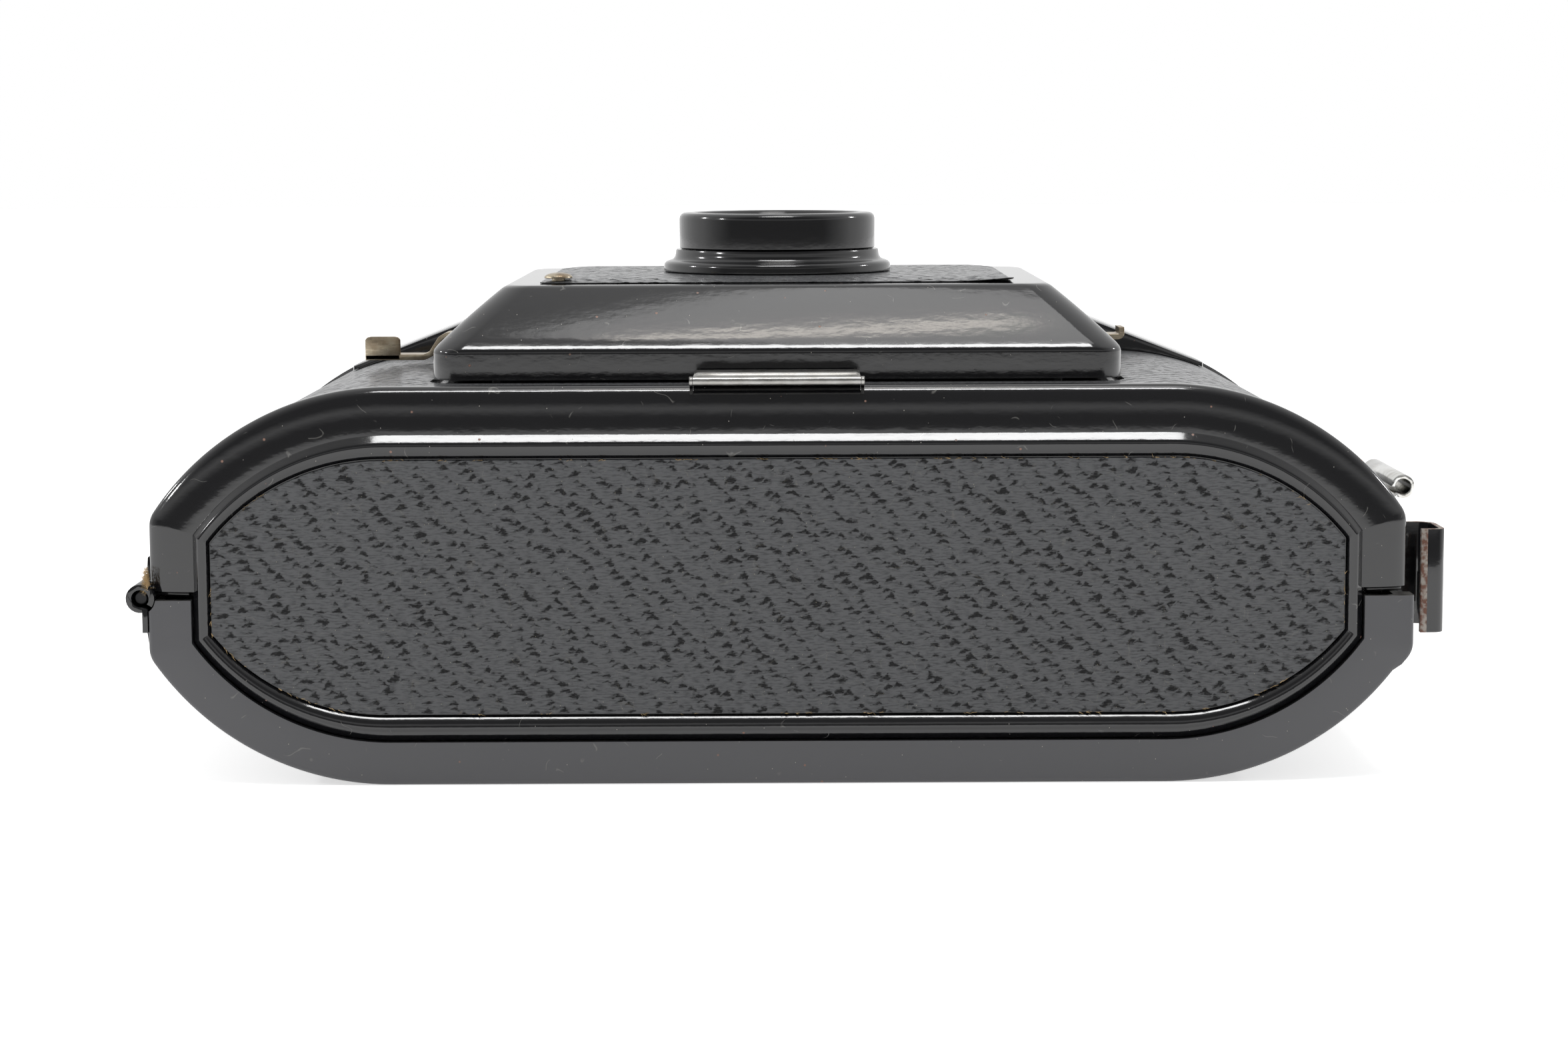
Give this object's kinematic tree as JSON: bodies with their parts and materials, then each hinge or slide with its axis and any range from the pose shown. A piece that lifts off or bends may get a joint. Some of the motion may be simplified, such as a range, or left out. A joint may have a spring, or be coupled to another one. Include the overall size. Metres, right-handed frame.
{
  "type": "box camera",
  "caption": "Flat metal roll-film box camera with rounded sides, a pull-out front carrying the lens, a hinged back, end-cap panels and a wind knob.",
  "frame": {"origin": "middle of the back's flat face, on which the camera lies", "axes": "+X across the body from the hinge towards the latch, +Y from the bottom end to the top end with the finder, +Z along the lens axis out of the front"},
  "size_m": [0.1496, 0.102, 0.0622],
  "materials": {
    "gloss_black_enamel": "gloss",
    "satin_black_enamel": "satin",
    "black_leatherette": "pitted",
    "aged_nickel": "tarnished",
    "bright_nickel": "polished",
    "bare_steel": "bare",
    "red_film": "clear",
    "clear_glass": "clear"
  },
  "bodies": {
    "body": {"front_shell": "gloss_black_enamel", "front_leather": "black_leatherette", "bottom_end_cap": "gloss_black_enamel", "bottom_inlay": "black_leatherette", "top_end_cap": "gloss_black_enamel", "top_inlay": "black_leatherette", "top_hood": "gloss_black_enamel", "finder_tube": "gloss_black_enamel", "finder_front_lens": "clear_glass", "finder_rear_lens": "clear_glass", "film_frame": "satin_black_enamel", "tube_collar": "satin_black_enamel", "latch_keeper": "aged_nickel", "supply_stud_bottom": "aged_nickel", "supply_stud_top": "aged_nickel", "takeup_stud_bottom": "aged_nickel", "strap_lug_bottom": "gloss_black_enamel", "strap_lug_top": "gloss_black_enamel", "stand_bracket": "bright_nickel", "stand_pin": "bright_nickel", "knob_bush": "aged_nickel", "hinge_leaf_front": "gloss_black_enamel", "hinge_pin": "bare_steel"},
    "back": {"back_cover": "satin_black_enamel", "back_leather": "black_leatherette", "pressure_spring": "bare_steel", "red_window_left": "red_film", "red_window_right": "red_film", "hinge_leaf_back": "gloss_black_enamel", "latch_bracket": "gloss_black_enamel", "latch_pin": "bare_steel"},
    "pressure": {"pressure_plate": "satin_black_enamel"},
    "latch": {"back_latch": "aged_nickel"},
    "stand": {"stand_foot": "bright_nickel"},
    "roller_left": {"film_roller_left": "aged_nickel"},
    "roller_right": {"film_roller_right": "aged_nickel"},
    "winder": {"takeup_spool": "satin_black_enamel", "wind_shaft": "bare_steel", "wind_knob": "gloss_black_enamel"},
    "front": {"front_housing": "gloss_black_enamel", "panel_leather": "black_leatherette", "panel_rivet": "aged_nickel", "front_tube": "satin_black_enamel", "lens_flange": "gloss_black_enamel", "lens_ring": "gloss_black_enamel", "lens": "clear_glass", "shutter_pin": "bare_steel", "lever_pin": "bare_steel", "lever_spring": "bare_steel"},
    "release": {"release_lever": "aged_nickel"},
    "shutter": {"shutter_blade": "bare_steel"},
    "time": {"time_lever": "aged_nickel"}
  },
  "joints": [
    {"name": "front_slide", "type": "slide", "parent": "body", "child": "front", "axis": [0, 0, 1], "range_m": [0, 0.026]},
    {"name": "back_hinge", "type": "hinge", "parent": "body", "child": "back", "pos_m": [-0.07045, 0, 0.021], "axis": [0, 1, 0], "range_deg": [0, 105]},
    {"name": "pressure_travel", "type": "slide", "parent": "back", "child": "pressure", "axis": [0, 0, -1], "range_m": [0, 0.0008], "stiffness_N_per_m": 500, "springref_m": -0.002, "deforming": ["pressure_spring"]},
    {"name": "latch_hinge", "type": "hinge", "parent": "back", "child": "latch", "pos_m": [0.0716, 0, 0.0155], "axis": [0, 1, 0], "range_deg": [0, 40]},
    {"name": "stand_hinge", "type": "hinge", "parent": "body", "child": "stand", "pos_m": [0, -0.0446, 0.0448], "axis": [1, 0, 0], "range_deg": [0, 90]},
    {"name": "roller_left_spin", "type": "hinge", "parent": "body", "child": "roller_left", "pos_m": [-0.0396, 0, 0.0114], "axis": [0, 1, 0], "continuous": true},
    {"name": "roller_right_spin", "type": "hinge", "parent": "body", "child": "roller_right", "pos_m": [0.0396, 0, 0.0114], "axis": [0, 1, 0], "continuous": true},
    {"name": "winder_spin", "type": "hinge", "parent": "body", "child": "winder", "pos_m": [0.052, 0, 0.0221], "axis": [0, 1, 0], "continuous": true},
    {"name": "release_hinge", "type": "hinge", "parent": "front", "child": "release", "pos_m": [-0.018, 0, 0.0471], "axis": [0, 0, 1], "range_deg": [0, 12], "stiffness_Nm_per_rad": 0.02, "springref_deg": -17.19},
    {"name": "shutter_hinge", "type": "hinge", "parent": "front", "child": "shutter", "pos_m": [0, 0.0125, 0.0463], "axis": [0, 0, 1], "range_deg": [0, 60]},
    {"name": "time_slide", "type": "slide", "parent": "front", "child": "time", "axis": [0, 1, 0], "range_m": [0, 0.004]}
  ],
  "couplings": [
    {"joint": "shutter_hinge", "follows": "release_hinge", "ratio": 5}
  ]
}
